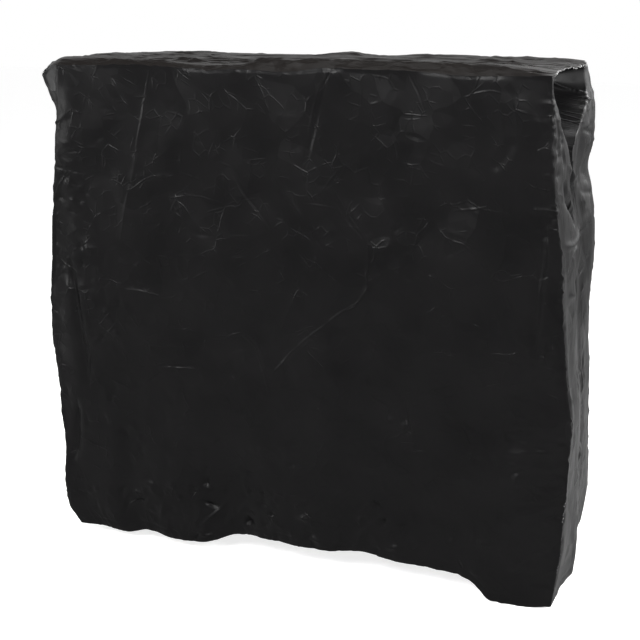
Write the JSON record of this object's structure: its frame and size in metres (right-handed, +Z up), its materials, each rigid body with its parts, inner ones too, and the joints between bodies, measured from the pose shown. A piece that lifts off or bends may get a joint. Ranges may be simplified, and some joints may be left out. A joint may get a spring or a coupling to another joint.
{
  "type": "table tennis table cover",
  "caption": "Fitted black cloth cover for a folded, upright table tennis table: a tall hollow box, open at the bottom, with loose bowed ends and an uneven hem.",
  "frame": {"origin": "middle of the underside of the top panel, where the cover rests on the folded table inside it", "axes": "+X along the width, to the right as seen from the front; +Y from the front wall to the back wall; +Z up"},
  "size_m": [1.8228, 0.7817, 1.6689],
  "materials": {
    "cloth": "thin black proofed cloth, slightly glossy, finely crinkled"
  },
  "bodies": {
    "root": {"top_panel": "cloth", "front_panel": "cloth", "back_panel": "cloth", "left_side_panel": "cloth", "right_side_panel": "cloth"}
  },
  "joints": []
}
